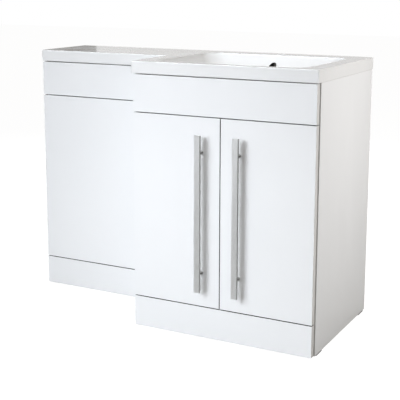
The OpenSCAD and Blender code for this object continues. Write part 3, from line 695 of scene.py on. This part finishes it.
@dataclass
class CastTop:
    """One-piece cast top: an L-shaped slab with a moulded bowl, a tap hole and an overflow.

    An x is measured from the top's left end, and a depth from the wall.
    """

    palette: Palette
    step_x: float = 496 * MM
    shelf_d: float = 260 * MM
    edge_t: float = 37 * MM
    plate_t: float = 16 * MM
    band_w: float = 22 * MM
    corner_r: float = 5 * MM
    edge_r: float = 2.2 * MM
    under_edge_r: float = 2.2 * MM / 3
    bowl_x: float = 799.5 * MM
    bowl_w: float = 490 * MM
    bowl_back: float = 72 * MM
    bowl_front: float = 450 * MM
    bowl_depth: float = 112 * MM
    bowl_r: float = 50 * MM
    corner_growth: float = 25 * MM
    wall: float = 9 * MM
    end_run: float = 145 * MM
    back_run: float = 125 * MM
    front_run: float = 40 * MM
    end_ease: float = 1.1
    back_ease: float = 1.02
    front_ease: float = 2.5
    floor_fall: float = 6 * MM
    rim_roll: float = 4 * MM
    tap_back: float = 40 * MM
    tap_r: float = 17.5 * MM
    tap_flare: float = 0.8 * MM
    recess_w: float = 220 * MM
    recess_back: float = 14 * MM
    recess_r: float = 1 * MM
    waste_inset: float = 35 * MM
    waste_r: float = 22.5 * MM
    seat_r: float = 33 * MM
    seat_h: float = 3 * MM
    seat_rim: float = 1 * MM
    boss_w: float = 11 * MM
    boss_drop: float = 10 * MM
    boss_sink: float = 2 * MM
    overflow_r: float = 12.5 * MM
    overflow_drop: float = 35 * MM
    tube_w: float = 6 * MM
    ribs: int = 2
    rib_t: float = 12 * MM
    hollow_end: float = 480 * MM
    overrun: float = 1 * MM
    outline_steps: int = 10
    edge_steps: int = 6
    corner_steps: int = 20
    rim_steps: int = 7
    mouth_steps: int = 5
    wall_rings: int = 34
    floor_rings: int = 8
    shell_rings: int = 14
    crease: float = math.radians(38.0)
    bore_slope: float = 0.05
    bore_reach: float = 0.3 * MM

    def __post_init__(self) -> None:
        """Read where the top stands from the frame."""
        low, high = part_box("basin_top")
        self.left, self.right = low.x, high.x
        self.front, self.back = low.y, high.y
        self.top = high.z
        self.under = high.z - self.edge_t
        self.floor_back = self.bowl_back + self.back_run
        self.floor_front = self.bowl_front - self.front_run
        self.waste_d = self.floor_back + self.waste_inset + self.seat_r
        self.floor = self.top - self.bowl_depth - self.floor_fall

    def spot(self, x: float, d: float, z: float) -> Vector:
        """Place given from the top's left end and from the wall."""
        return Vector((self.left + x, self.back - d, z))

    def slab(self) -> bpy.types.Object:
        """The L-shaped slab with rounded edges.

        Returns:
            The slab.
        """
        width, depth = self.right - self.left, self.back - self.front
        plan = [
            (0, self.shelf_d),
            (self.step_x, self.shelf_d),
            (self.step_x, depth),
            (width, depth),
            (width, 0),
            (0, 0),
        ]
        corners = [tuple(self.spot(x, d, 0.0).xy) for x, d in plan]
        outline = rounded_outline(corners, self.corner_r, self.outline_steps)
        rings = []
        for inset, z in self.edge_profile():
            rings.append([Vector((*(point - normal * inset), z)) for point, normal in outline])
        return loft("cast_top", rings)

    def edge_profile(self) -> list[Point]:
        """Inset and height of each ring of the slab's edge, lowest first.

        Returns:
            The rings' insets and heights.
        """
        low_r, high_r = self.under_edge_r, self.edge_r
        made = []
        for cosine, sine in quarter(self.edge_steps):
            made.append((low_r * (1 - sine), self.under + low_r * (1 - cosine)))
        for cosine, sine in quarter(self.edge_steps):
            made.append((high_r * (1 - cosine), self.top - high_r * (1 - sine)))
        return made

    def ring(self, x: Point, d: Point, r: float, z: float) -> Ring:
        """Ring of a rounded rectangle.

        Args:
            x: Left and right ends, from the top's left end.
            d: Back and front, from the wall.
            r: Radius of its corners.
            z: Its height.

        Returns:
            The ring, anticlockwise from above.
        """
        made = []
        for corner in range(4):
            cx = x[1] - r if corner in (0, 3) else x[0] + r
            cd = d[0] + r if corner < 2 else d[1] - r
            for k in range(self.corner_steps + 1):
                a = math.pi / 2 * (corner + k / self.corner_steps)
                made.append(self.spot(cx + r * math.cos(a), cd - r * math.sin(a), z))
        return made

    @staticmethod
    def run(share: float, ease: float) -> float:
        """How far a wall has run in at a share of its depth, as a share of its whole run."""
        return 1 - max(0.0, 1 - share**ease) ** (1 / ease)

    def bowl_ring(self, share: float, grow: float, z: float) -> Ring:
        """Ring of the bowl at a share of its depth.

        Args:
            share: 0 at the rim and 1 at the foot of the walls.
            grow: How far the ring lies outside the bowl's surface.
            z: Its height.

        Returns:
            The ring.
        """
        end = self.end_run * self.run(share, self.end_ease) - grow
        back = self.back_run * self.run(share, self.back_ease) - grow
        front = self.front_run * self.run(share, self.front_ease) - grow
        return self.ring(
            (self.bowl_x - self.bowl_w / 2 + end, self.bowl_x + self.bowl_w / 2 - end),
            (self.bowl_back + back, self.bowl_front - front),
            self.bowl_r + self.corner_growth * share + grow,
            z,
        )

    def floor_ring(self, share: float) -> Ring:
        """Ring of the bowl's floor.

        Args:
            share: 0 at the foot of the walls and 1 round the waste.

        Returns:
            The ring.
        """
        seat = self.seat_r + self.seat_rim
        end = self.bowl_w / 2 - self.end_run
        half = end + (seat - end) * share
        back = self.floor_back + (self.waste_d - seat - self.floor_back) * share
        front = self.floor_front + (self.waste_d + seat - self.floor_front) * share
        widest = min(half, (front - back) / 2) - self.seat_rim / 2
        radius = min(self.bowl_r + self.corner_growth, widest)
        z = self.top - self.bowl_depth - self.floor_fall * share
        return self.ring((self.bowl_x - half, self.bowl_x + half), (back, front), radius, z)

    def bowl_space(self) -> bpy.types.Object:
        """The space inside the bowl, with the rolled rim.

        Returns:
            The space as a solid.
        """
        roll = self.rim_roll
        rings = [self.floor_ring(1 - k / self.floor_rings) for k in range(self.floor_rings)]
        for _, share in reversed(quarter(self.wall_rings)):
            z = self.top - roll - share * (self.bowl_depth - roll)
            rings.append(self.bowl_ring(share, 0.0, z))
        for cosine, sine in quarter(self.rim_steps)[1:]:
            rings.append(self.bowl_ring(0.0, roll * (1 - cosine), self.top - roll * (1 - sine)))
        rings.append(self.bowl_ring(0.0, roll, self.top + self.overrun))
        return loft("bowl_space", rings)

    def bowl_shell(self) -> bpy.types.Object:
        """The outside of the bowl under the slab.

        Returns:
            The shell as a solid.
        """
        depth = self.bowl_depth + self.floor_fall + self.wall
        rings = []
        for _, share in reversed(quarter(self.shell_rings)[1:]):
            rings.append(self.bowl_ring(share, self.wall, self.top - share * depth))
        return loft("bowl_shell", rings)

    def hollows(self) -> list[bpy.types.Object]:
        """The hollows under the shelf and the recess under the tap hole.

        Returns:
            Their spaces as solids.
        """
        low, high = self.under - self.overrun, self.top - self.plate_t
        span = self.hollow_end - self.band_w
        width = (span - self.ribs * self.rib_t) / (self.ribs + 1)
        made = []
        for i in range(self.ribs + 1):
            x0 = self.band_w + i * (width + self.rib_t)
            place = (x0, x0 + width), (self.band_w, self.shelf_d - self.band_w)
            rings = [self.ring(*place, self.corner_r, z) for z in (low, high)]
            made.append(loft("shelf_hollow", rings))
        place = (
            (self.bowl_x - self.recess_w / 2, self.bowl_x + self.recess_w / 2),
            (self.recess_back, self.bowl_back - self.wall),
        )
        rings = [self.ring(*place, self.recess_r, z) for z in (low, high)]
        made.append(loft("tap_recess", rings))
        return made

    def round_hole(self, radius: float, flare: float, depth: float) -> list[Point]:
        """Profile of a hole whose mouth at height 0 is rounded.

        Args:
            radius: Radius of the hole.
            flare: Radius of the rounding at its mouth.
            depth: Depth of the hole.

        Returns:
            Radius and height of each ring, lowest first.
        """
        made = [(radius, -depth)]
        for cosine, sine in quarter(self.mouth_steps):
            made.append((radius + flare * (1 - cosine), -flare * (1 - sine)))
        made.append((radius + flare, self.overrun))
        return made

    def paint_bore_shade(self, top: bpy.types.Object) -> None:
        """Paint shade into the overflow's bore with a second, near-black material.

        Args:
            top: The finished top.
        """
        top.data.materials.append(self.palette.bore_shade)
        bore = self.spot(self.bowl_x, 0.0, self.top - self.overflow_drop)
        for polygon in top.data.polygons:
            off = math.hypot(polygon.center.x - bore.x, polygon.center.z - bore.z)
            along = abs(polygon.normal.y) < self.bore_slope
            if along and abs(off - self.overflow_r) < self.bore_reach:
                polygon.material_index = 1

    def upright(self, name: str, profile: list[Point], d: float, z: float) -> bpy.types.Object:
        """Turned solid that stands on the bowl's middle line."""
        return turned(name, profile, self.spot(self.bowl_x, d, z))

    def overflow_bar(self, name: str, radius: float, past: float) -> bpy.types.Object:
        """Round bar along the overflow's axis, through the bowl's back wall.

        Args:
            name: Name of the object.
            radius: Its radius.
            past: How far it runs on at both ends.

        Returns:
            The bar.
        """
        reach = self.back_run * (self.overflow_drop + self.overflow_r) / self.bowl_depth
        mouth = self.bowl_back + reach + self.rim_roll + past
        length = reach + self.rim_roll + self.wall + 2 * past
        place = self.spot(self.bowl_x, mouth, self.top - self.overflow_drop)
        return turned(name, [(radius, 0.0), (radius, length)], place, Axis.Y)

    def add_body(self, top: bpy.types.Object) -> None:
        """Add the bowl's shell and the bosses round the waste and the overflow.

        Args:
            top: The slab.
        """
        foot = self.floor - self.wall - self.boss_drop
        boss_r = self.waste_r + self.boss_w
        boss = [(boss_r, 0.0), (boss_r, self.wall + self.boss_drop - self.boss_sink)]
        combine(top, self.bowl_shell(), Change.ADD)
        combine(top, self.upright("waste_boss", boss, self.waste_d, foot), Change.ADD)
        tube_r = self.overflow_r + self.tube_w
        combine(top, self.overflow_bar("overflow_boss", tube_r, 0.0), Change.ADD)

    def cut_holes(self, top: bpy.types.Object) -> None:
        """Cut the bowl, the hollows, the tap hole, the waste and the overflow.

        Args:
            top: The slab with its shell and bosses.
        """
        tools = [self.bowl_space(), *self.hollows()]
        tap = self.round_hole(self.tap_r, self.tap_flare, self.edge_t)
        tools.append(self.upright("tap_hole", tap, self.tap_back, self.top))
        seat = [(self.seat_r, 0.0), (self.seat_r, self.seat_h + self.overrun)]
        tools.append(self.upright("waste_seat", seat, self.waste_d, self.floor - self.seat_h))
        deep = self.wall + self.boss_drop + self.overrun
        waste = [(self.waste_r, 0.0), (self.waste_r, deep + self.overrun)]
        tools.append(self.upright("waste_hole", waste, self.waste_d, self.floor - deep))
        tools.append(self.overflow_bar("overflow_hole", self.overflow_r, self.overrun))
        for tool in tools:
            combine(top, tool, Change.CUT)

    def build(self) -> list[bpy.types.Object]:
        """Make the top and let it stand for its solid.

        Returns:
            The top.
        """
        top = self.slab()
        self.add_body(top)
        self.cut_holes(top)
        for polygon in top.data.polygons:
            polygon.use_smooth = True
        top.data.set_sharp_from_angle(angle=self.crease)
        even_out(top)
        dress(top, self.palette.top)
        self.paint_bore_shade(top)
        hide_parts("basin_top")
        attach(top, "carcass")
        return [top]


@dataclass
class SubAssembly(ABC):
    """Pieces that keep their solids and get softened edges and a finish."""

    palette: Palette

    @abstractmethod
    def build(self) -> list[bpy.types.Object]:
        """Dress the sub-assembly's pieces."""

    def keep(
        self, finish: bpy.types.Material, edge: Edge, *names: str
    ) -> list[bpy.types.Object]:
        """Soften and dress solids as they stand.

        Args:
            finish: Their material.
            edge: The rounding of their edges.
            names: Their nodes.

        Returns:
            The pieces.
        """
        made = [bpy.data.objects[name] for name in names]
        for piece in made:
            soften(piece, edge)
            dress(piece, finish)
        return made


@dataclass
class VanityCabinet(SubAssembly):
    """The vanity: two side panels, a base, rails and a shelf behind a fascia and a plinth."""

    front_edge: Edge = Edge(0.6 * MM, 3)
    panel_edge: Edge = Edge(0.6 * MM, 3)
    board_edge: Edge = Edge(0.4 * MM)
    metal_edge: Edge = Edge(0.1 * MM)
    glide_edge: Edge = Edge(0.3 * MM)

    def fronts(self) -> list[bpy.types.Object]:
        """The fixed gloss fronts."""
        fascia = self.keep(self.palette.cover, self.front_edge, "vanity_fascia")
        return fascia + self.keep(self.palette.front, self.front_edge, "vanity_plinth")

    def side_panels(self) -> list[bpy.types.Object]:
        """The two gloss side panels."""
        names = ("vanity_side_left", "vanity_side_right")
        return self.keep(self.palette.side, self.panel_edge, *names)

    def inner_boards(self) -> list[bpy.types.Object]:
        """The boards inside, with their shelf.

        Returns:
            The base, the rails and the shelf.
        """
        parts = ("base", "front_rail", "back_rail", "foot_rail", "shelf")
        names = [f"vanity_{part}" for part in parts]
        return self.keep(self.palette.inner, self.board_edge, *names)

    def build(self) -> list[bpy.types.Object]:
        """Dress the cabinet.

        Returns:
            Its pieces.
        """
        made = self.fronts() + self.side_panels() + self.inner_boards()
        made += self.keep(self.palette.fixing, self.metal_edge, "shelf_pins", "vanity_brackets")
        return made + self.keep(self.palette.glide, self.glide_edge, "vanity_glides")


@dataclass
class WcCabinet(SubAssembly):
    """The shallow cabinet beside it, whose two front panels clip on and come off."""

    front_edge: Edge = Edge(0.6 * MM, 3)
    panel_edge: Edge = Edge(0.6 * MM, 3)
    board_edge: Edge = Edge(0.4 * MM)
    metal_edge: Edge = Edge(0.1 * MM)
    clip_edge: Edge = Edge(0.2 * MM)
    glide_edge: Edge = Edge(0.3 * MM)

    def fronts(self) -> list[bpy.types.Object]:
        """The access panel, the large panel and the plinth.

        Returns:
            The three fronts.
        """
        access = self.keep(self.palette.cover, self.front_edge, "wc_access_panel")
        names = ("wc_front_panel", "wc_plinth")
        return access + self.keep(self.palette.front, self.front_edge, *names)

    def side_panels(self) -> list[bpy.types.Object]:
        """The two gloss side panels."""
        return self.keep(self.palette.side, self.panel_edge, "wc_side_left", "wc_side_right")

    def rails(self) -> list[bpy.types.Object]:
        """The upright rails that the panels clip to, and the back rail."""
        names = [f"wc_{part}_rail" for part in ("top", "middle", "base", "back")]
        return self.keep(self.palette.inner, self.board_edge, *names)

    def clips(self) -> list[bpy.types.Object]:
        """The push clips: sockets on the rails and studs on the panels."""
        names = ("panel_clip_sockets", "panel_clip_studs")
        return self.keep(self.palette.clip, self.clip_edge, *names)

    def build(self) -> list[bpy.types.Object]:
        """Dress the cabinet.

        Returns:
            Its pieces.
        """
        made = self.fronts() + self.side_panels() + self.rails() + self.clips()
        made += self.keep(self.palette.fixing, self.metal_edge, "wc_brackets")
        return made + self.keep(self.palette.glide, self.glide_edge, "wc_glides")


@dataclass
class Door(SubAssembly):
    """One door: a gloss leaf with a bar handle, hung on two concealed hinges."""

    hand: Hand = Hand.LEFT
    leaf_edge: Edge = Edge(0.6 * MM, 3)
    bar_edge: Edge = Edge(0.6 * MM, 3)
    hinge_edge: Edge = Edge(0.15 * MM)
    screw_edge: Edge = Edge(0.1 * MM)

    def own(self, *parts: str) -> tuple[str, ...]:
        """Names of this door's nodes."""
        return tuple(f"{self.hand.value}_{part}" for part in parts)

    def leaf(self) -> list[bpy.types.Object]:
        """The door's board."""
        return self.keep(self.palette.front, self.leaf_edge, *self.own("door"))

    def handle(self) -> list[bpy.types.Object]:
        """The bar on its two posts, and the screws through the leaf.

        Returns:
            The bar, the posts and the screws.
        """
        bright = self.own("handle_bar", "handle_posts")
        bar = self.keep(self.palette.handle, self.bar_edge, *bright)
        screws = self.own("handle_screws")
        return bar + self.keep(self.palette.fixing, self.screw_edge, *screws)

    def hinges(self) -> list[bpy.types.Object]:
        """Cups, arms and plates, with the pins and the cups' screws.

        Returns:
            The parts of both hinges.
        """
        parts = self.own("hinge_cups", "hinge_arms", "hinge_plates")
        pressed = self.keep(self.palette.hinge, self.hinge_edge, *parts)
        small = self.own("hinge_pins", "cup_screws")
        return pressed + self.keep(self.palette.fixing, self.screw_edge, *small)

    def build(self) -> list[bpy.types.Object]:
        """Dress the door."""
        return self.leaf() + self.handle() + self.hinges()


@dataclass
class Fastenings(SubAssembly):
    """What holds the boards, the brackets and the hinges, and the soft stops of the doors."""

    screw_edge: Edge = Edge(0.1 * MM)
    stop_edge: Edge = Edge(0.3 * MM)

    def board_fittings(self) -> list[bpy.types.Object]:
        """Cam locks with their bolts, and the bolts between the two cabinets."""
        names = ("cam_locks", "cam_bolts", "unit_connectors")
        return self.keep(self.palette.fixing, self.screw_edge, *names)

    def screws(self) -> list[bpy.types.Object]:
        """The screws of the brackets and of the hinges."""
        names = ("bracket_screws", "hinge_plate_screws", "hinge_arm_screws")
        return self.keep(self.palette.fixing, self.screw_edge, *names)

    def build(self) -> list[bpy.types.Object]:
        """Dress the fastenings and the stops."""
        stops = self.keep(self.palette.stop, self.stop_edge, "door_bumpers")
        return self.board_fittings() + self.screws() + stops


@dataclass
class Unit:
    """The whole bathroom unit, sub-assembly by sub-assembly."""

    palette: Palette = field(default_factory=Palette)

    def assemblies(self) -> list[CastTop | SubAssembly]:
        """The sub-assemblies in the order in which they are made.

        Returns:
            The top, the two cabinets, the two doors and the fastenings.
        """
        hue = self.palette
        doors = [Door(hue, hand=hand) for hand in Hand]
        return [CastTop(hue), VanityCabinet(hue), WcCabinet(hue), *doors, Fastenings(hue)]


@dataclass(frozen=True)
class Softbox:
    """Square area light that looks at a point, with its power in watts."""

    name: str
    place: Place
    target: Place
    size: float
    power: float
    tint: Colour = (1.0, 1.0, 1.0)
    mirrored: bool = False
    spread: float = math.pi

    def build(self) -> None:
        """Hang the light, which shows in the gloss only where it is mirrored."""
        lamp = bpy.data.lights.new(self.name, "AREA")
        lamp.shape = "SQUARE"
        lamp.size = self.size
        lamp.energy = self.power
        lamp.color = self.tint
        lamp.spread = self.spread
        light = bpy.data.objects.new(self.name, lamp)
        bpy.context.scene.collection.objects.link(light)
        light.visible_glossy = self.mirrored
        light.location = self.place
        aim = Vector(self.target) - Vector(self.place)
        light.rotation_euler = aim.to_track_quat("-Z", "Y").to_euler()


KEY_LIGHTS = (
    Softbox(
        "key_light",
        place=(-1.30, -3.15, 2.15),
        target=(0.12, -0.22, 0.42),
        size=3.2,
        power=21.0,
        tint=DAYLIGHT,
        mirrored=True,
        spread=1.15,
    ),
    Softbox(
        "near_key",
        place=(-0.66, -1.83, 1.37),
        target=(0.06, -0.2, 0.42),
        size=1.0,
        power=1.1,
        tint=DAYLIGHT,
        mirrored=True,
        spread=0.7,
    ),
    Softbox(
        "low_key",
        place=(-1.3, -3.2, 0.95),
        target=(0.20, -0.22, 0.15),
        size=1.8,
        power=8.0,
        tint=(0.91, 0.94, 1.0),
        spread=1.4,
    ),
)
FILL_LIGHTS = (
    Softbox("right_fill", (1.3, -1.9, 0.5), (0.3, -0.2, 0.3), 1.2, 4.5, (1.0, 0.96, 0.91)),
    Softbox("side_near", (1.15, 0.05, 0.65), (0.55, 0.0, 0.50), 0.45, 1.3),
    Softbox("side_far", (1.6, 0.2, 1.2), (0.55, 0.0, 0.7), 0.7, 12.6, (1.0, 0.98, 0.97)),
    Softbox("top_light", (-0.70, 0.12, 2.3), (0.1, 0.0, 0.8), 1.0, 16.8, (0.96, 0.98, 1.0)),
    Softbox("back_light", (-0.9, 2.6, 1.6), (0.0, 0.2, 0.4), 1.6, 37.0),
    Softbox("sheen_light", (-0.85, 2.6, 1.1), (0.1, 0.0, 0.8), 2.1, 6.2, mirrored=True),
)


def split_by_ray(
    tree: bpy.types.NodeTree, output: str, shed: bpy.types.Node, seen: bpy.types.Node, share: float
) -> None:
    """End a node tree in a shader that lights the scene and one that the camera sees.

    Args:
        tree: The nodes of the floor or of the surroundings.
        output: Kind of the output node.
        shed: The shader that lights the scene.
        seen: The shader that the camera sees.
        share: Share of the seen one in the camera's picture.
    """
    path = tree.nodes.new("ShaderNodeLightPath")
    part = tree.nodes.new("ShaderNodeMath")
    part.operation = "MULTIPLY"
    part.inputs[1].default_value = share
    mix = tree.nodes.new("ShaderNodeMixShader")
    out = tree.nodes.new(output)
    tree.links.new(path.outputs["Is Camera Ray"], part.inputs[0])
    tree.links.new(part.outputs[0], mix.inputs["Fac"])
    tree.links.new(shed.outputs[0], mix.inputs[1])
    tree.links.new(seen.outputs[0], mix.inputs[2])
    tree.links.new(mix.outputs[0], out.inputs["Surface"])


@dataclass(frozen=True)
class Studio:
    """Plain pale floor, white surroundings and soft lights."""

    floor_size: float = 30.0
    floor_white: Colour = (0.42, 0.42, 0.41)
    floor_glow: float = 0.6
    floor_seen: float = 1.6
    ambient: Colour = (0.146, 0.133, 0.118)
    lights: tuple[Softbox, ...] = KEY_LIGHTS + FILL_LIGHTS

    def build(self) -> None:
        """Lay the floor and light the room."""
        self.floor()
        self.surroundings()
        for light in self.lights:
            light.build()

    def floor(self) -> None:
        """A pale floor that the camera sees nearly white, with the object's soft shadow."""
        build = bmesh.new()
        bmesh.ops.create_grid(build, x_segments=1, y_segments=1, size=self.floor_size / 2)
        ground = object_from("studio_floor", build)
        material = bpy.data.materials.new("studio_floor")
        material.use_nodes = True
        tree = material.node_tree
        tree.nodes.clear()
        matt = tree.nodes.new("ShaderNodeBsdfDiffuse")
        matt.inputs["Color"].default_value = (*self.floor_white, 1.0)
        glow = tree.nodes.new("ShaderNodeEmission")
        glow.inputs["Strength"].default_value = self.floor_seen
        split_by_ray(tree, "ShaderNodeOutputMaterial", matt, glow, self.floor_glow)
        dress(ground, material)

    def surroundings(self) -> None:
        """White surroundings: full white to the camera, dimmer as light."""
        world = bpy.data.worlds.new("studio")
        bpy.context.scene.world = world
        world.use_nodes = True
        tree = world.node_tree
        tree.nodes.clear()
        seen, shed = (tree.nodes.new("ShaderNodeBackground") for _ in range(2))
        seen.inputs["Color"].default_value = (1.0, 1.0, 1.0, 1.0)
        shed.inputs["Color"].default_value = (*self.ambient, 1.0)
        split_by_ray(tree, "ShaderNodeOutputWorld", shed, seen, 1.0)


@dataclass(frozen=True)
class Eye:
    """The camera: its place, its turn in radians, and its lens for a square picture in pixels."""

    place: Place = (1.4572, -2.6522, 1.0827)
    yaw: float = 0.4833
    pitch: float = 0.1799
    roll: float = 0.0021
    picture: int = 400
    focal: float = 947.3
    centre_y: float = 150.0
    sensor: float = 36.0
    farthest: float = 100.0

    def build(self) -> None:
        """Set up the camera."""
        data = bpy.data.cameras.new("eye")
        data.sensor_width = self.sensor
        data.lens = self.focal / self.picture * self.sensor
        data.shift_y = self.centre_y / self.picture - 0.5
        data.clip_end = self.farthest
        eye = bpy.data.objects.new("eye", data)
        bpy.context.scene.collection.objects.link(eye)
        turn = Matrix.Rotation(self.yaw, 4, "Z")
        tilt = Matrix.Rotation(math.pi / 2 - self.pitch, 4, "X")
        lean = Matrix.Rotation(self.roll, 4, "Z")
        eye.matrix_world = Matrix.Translation(self.place) @ turn @ tilt @ lean
        bpy.context.scene.camera = eye


def main() -> None:
    """Load the frame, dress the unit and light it."""
    logging.basicConfig(level=logging.INFO, format="%(message)s")
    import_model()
    bpy.context.scene.view_settings.view_transform = "Standard"
    Eye().build()
    for assembly in Unit().assemblies():
        for piece in assembly.build():
            kind, faces = type(assembly).__name__, len(piece.data.polygons)
            log.info("%s: made %s with %d faces", kind, piece.name, faces)
    Studio().build()


if __name__ == "__main__":
    main()
